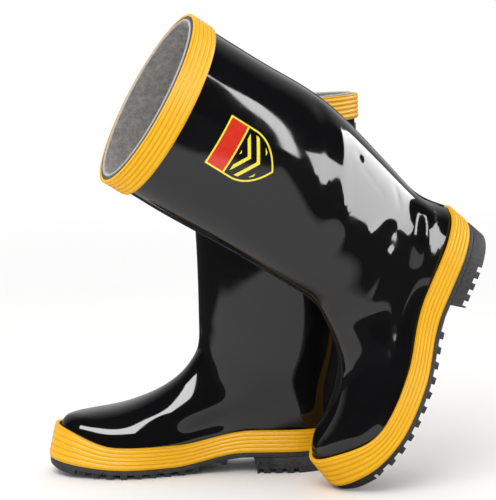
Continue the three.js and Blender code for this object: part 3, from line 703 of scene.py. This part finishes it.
# ---- emblem --------------------------------------------------------------------------------
def shield(count=72):
    """Outline of a plain shield, in millimetres about its middle."""
    half = 31.0
    corners = [(-0.84, 1.0), (0.84, 1.0), (0.84, 0.0)]
    points = []
    for (u0, v0), (u1, v1) in zip(corners, corners[1:]):
        points += [(u0 + (u1 - u0) * k / 14, v0 + (v1 - v0) * k / 14) for k in range(14)]
    for k in range(29):
        t = k / 28
        u = (1 - t) ** 2 * 0.84 + 2 * t * (1 - t) * 0.8
        v = -2 * t * (1 - t) * 0.65 - t * t * 1.1
        points.append((u, v))
    points += [(-u, v) for u, v in reversed(points[28:-1])]
    points += [(-0.84, k / 14) for k in range(1, 14)]
    return [(u * half, v * half) for u, v in points]


def edge_distance(u, v, outline):
    best = 99.0
    for (ax, ay), (bx, by) in zip(outline, outline[1:] + outline[:1]):
        ex, ey = bx - ax, by - ay
        t = min(max(((u - ax) * ex + (v - ay) * ey) / (ex * ex + ey * ey), 0), 1)
        best = min(best, math.hypot(u - ax - t * ex, v - ay - t * ey))
    return best


def emblem(side, tree):
    """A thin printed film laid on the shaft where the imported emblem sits."""
    bm = merged(side + "_emblem")
    spots = [v.co.copy() for v in bm.verts]
    bm.free()
    middle = sum(spots, Vector()) / len(spots)
    _, facing, _, _ = tree.find_nearest(middle)
    _, out = mouth(side)
    rise = (out - facing * out.dot(facing)).normalized()
    across = rise.cross(facing)
    heights = [(p - middle).dot(rise) for p in spots]
    centre = middle + rise * ((max(heights) + min(heights)) / 2 + 1.55 * MM)
    outline = shield()
    rings = 15
    points, faces, flat = [], [], []
    for r in range(rings + 1):
        for u, v in outline:
            flat.append((u * r / rings, v * r / rings))
    for u, v in flat:
        spot = centre + (across * u + rise * v) * MM
        hit = tree.ray_cast(spot + facing * 0.03, -facing)
        points.append(hit[0] + hit[1] * 0.12 * MM)
    n = len(outline)
    for r in range(rings):
        for k in range(n):
            l = (k + 1) % n
            faces.append((r * n + k, r * n + l, (r + 1) * n + l, (r + 1) * n + k))
    mesh = mesh_from(side + "_emblem_print", points, faces)
    set_attribute(mesh, "badge_u", [u for u, _ in flat])
    set_attribute(mesh, "badge_v", [v for _, v in flat])
    set_attribute(mesh, "badge_edge", [edge_distance(u, v, outline) for u, v in flat])
    bm = bmesh.new()
    bm.from_mesh(mesh)
    bmesh.ops.remove_doubles(bm, verts=bm.verts, dist=0.01 * MM)
    bmesh.ops.recalc_face_normals(bm, faces=bm.faces)
    if sum((f.normal for f in bm.faces), Vector()).dot(facing) < 0:
        bmesh.ops.reverse_faces(bm, faces=bm.faces)
    bm.to_mesh(mesh)
    bm.free()
    piece = link(side + "_emblem_film", baked(mesh, ("SOLIDIFY", {
        "thickness": 0.1 * MM, "offset": -1, "use_rim": True})))
    smooth_edges(piece.data, 50)
    dress(piece, "emblem_film", side + "_boot", side + "_emblem")


# ---- soles ---------------------------------------------------------------------------------
def moulded(side, node, ink, round_by, body):
    """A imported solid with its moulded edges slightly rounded."""
    bm = merged(side + "_" + node)
    mesh = bpy.data.meshes.new(side + "_" + node + "_mould")
    bm.to_mesh(mesh)
    bm.free()
    piece = link(side + "_" + node + "_moulded", baked(mesh, ("BEVEL", {
        "width": round_by, "segments": 2, "limit_method": "ANGLE",
        "angle_limit": math.radians(35), "harden_normals": False})))
    smooth_edges(piece.data, 32)
    return dress(piece, ink, body, side + "_" + node)


def insole(side):
    """A felt insole with a soft edge."""
    bm = merged(side + "_insole")
    mesh = bpy.data.meshes.new(side + "_felt")
    bm.to_mesh(mesh)
    bm.free()
    piece = link(side + "_felt_insole", baked(mesh, ("BEVEL", {
        "width": 1.4 * MM, "segments": 3, "limit_method": "ANGLE",
        "angle_limit": math.radians(50)})))
    smooth_edges(piece.data, 40)
    dress(piece, "insole_felt", side + "_insole", side + "_insole")


# ---- build both boots ----------------------------------------------------------------------
for side in SIDES:
    boot = side + "_boot"
    rubber = upper(side)
    lining(side)
    emblem(side, rubber)
    backstay(side, rubber)
    moulded(side, "outsole", "sole_rubber", 0.5 * MM, boot)
    moulded(side, "heel_block", "sole_rubber", 0.8 * MM, boot)
    insole(side)
    collar = band(side + "_collar_strip", side, "collar_band",
                  rib_profile(RIB_COUNT, RIB_HEIGHT, 2.4 * MM, 0.8 * MM), 9)
    dress(collar, "yellow_rubber", boot, side + "_collar_band")
    foxing = band(side + "_foxing_strip", side, "foxing_band",
                  rib_profile(RIB_COUNT, RIB_HEIGHT, 3.4 * MM, 0.7 * MM), 4,
                  overlap=OVERLAP if side == "right" else None)
    dress(foxing, "yellow_rubber", boot, side + "_foxing_band")

# ---- nodes that stay as they are -----------------------------------------------------------
SLOTS = {row["node"]: row["material_slot"] for row in frame["record"]["subparts"]}
for name, node in frame["nodes"].items():
    if not node.hide_render:
        node.data.materials.clear()
        node.data.materials.append(INK[SLOTS[name]])

# ---- stage, light and camera ---------------------------------------------------------------
scene = bpy.context.scene
scene.view_settings.view_transform = "Standard"


def softbox(name, centre, along, rise, radiance):
    """A soft box spanned by two vectors, facing the boots, that only the lacquer mirrors."""
    along, rise = Vector(along), Vector(rise)
    facing = along.cross(rise).normalized()
    if facing.dot(Vector(centre)) < 0:
        facing.negate()
    upward = rise.normalized()
    light = bpy.data.lights.new(name, "AREA")
    light.shape = "RECTANGLE"
    light.size, light.size_y = along.length, rise.length
    light.energy = 4 * radiance * light.size * light.size_y
    lamp = bpy.data.objects.new(name, light)
    lamp.matrix_world = Matrix.Translation(centre) @ Matrix(
        (upward.cross(facing), upward, facing)).transposed().to_4x4()
    lamp.visible_camera = lamp.visible_diffuse = False
    scene.collection.objects.link(lamp)


floor = link("floor", mesh_from("floor", [(-12, -12, 0), (12, -12, 0), (12, 12, 0), (-12, 12, 0)],
                                [(0, 1, 2, 3)]))
floor.data.materials.append(pale_floor())

TARGET = (0.0, 0.0, 0.2)
softbox("strip_box", (1.62, -0.985, 0.84), (0, 0.168, -0.074), (0, 0.37, 0.84), 10.5)
softbox("right_box", (1.96, 0.22, 0.69), (0, 2.33, 1.05), (0, -0.206, 0.455), 8.5)
softbox("low_box", (1.96, -0.82, 0.37), (0, 0.45, 0), (0, 0, 0.46), 8.5)
softbox("overhead_box", (-0.775, -1.07, 1.29), (1.35, -0.80, 0), (0.16, 0.26, 0.42), 12.0)

key = bpy.data.objects.new("key_light", bpy.data.lights.new("key_light", "AREA"))
key.data.shape = "RECTANGLE"
key.data.size, key.data.size_y = 1.6, 1.2
key.data.energy = 22
key.location = (-0.6, -1.2, 1.9)
key.rotation_mode = "QUATERNION"
key.rotation_quaternion = (key.location - Vector(TARGET)).to_track_quat("Z", "Y")
key.visible_glossy = False
scene.collection.objects.link(key)

world = bpy.data.worlds.new("studio")
scene.world = world
world.use_nodes = True
tree = world.node_tree
tree.nodes.clear()
output = tree.nodes.new("ShaderNodeOutputWorld")
swap = tree.nodes.new("ShaderNodeMixShader")
rays = tree.nodes.new("ShaderNodeLightPath")
open_sky = tree.nodes.new("ShaderNodeBackground")
open_sky.inputs["Color"].default_value = (1, 1, 1, 1)
open_sky.inputs["Strength"].default_value = 1.0
room = tree.nodes.new("ShaderNodeBackground")
way = tree.nodes.new("ShaderNodeTexCoord")
split = tree.nodes.new("ShaderNodeSeparateXYZ")
fade = tree.nodes.new("ShaderNodeMapRange")
fade.inputs["From Min"].default_value = 0.15
fade.inputs["From Max"].default_value = 0.8
fade.inputs["To Min"].default_value = 0.012
fade.inputs["To Max"].default_value = 0.9
tree.links.new(way.outputs["Generated"], split.inputs[0])
tree.links.new(split.outputs["Y"], fade.inputs["Value"])
tree.links.new(fade.outputs["Result"], room.inputs["Strength"])
tree.links.new(rays.outputs["Is Glossy Ray"], swap.inputs[0])
tree.links.new(open_sky.outputs[0], swap.inputs[1])
tree.links.new(room.outputs[0], swap.inputs[2])
tree.links.new(swap.outputs[0], output.inputs["Surface"])

PITCH, YAW, ROLL = -0.13455, 0.00893, -0.02216  # the camera's angles, in radians
ahead = Vector((math.sin(YAW) * math.cos(PITCH), math.cos(YAW) * math.cos(PITCH), math.sin(PITCH)))
level = Vector((math.cos(YAW), -math.sin(YAW), 0))
up = level.cross(ahead)
across = level * math.cos(ROLL) + up * math.sin(ROLL)
rise = up * math.cos(ROLL) - level * math.sin(ROLL)
camera = bpy.data.objects.new("camera", bpy.data.cameras.new("camera"))
camera.data.lens = 130.0
camera.data.clip_end = 60
camera.matrix_world = Matrix((across, rise, -ahead)).transposed().to_4x4()
camera.location = (-0.02947, -1.82698, 0.49684)
scene.collection.objects.link(camera)
scene.camera = camera
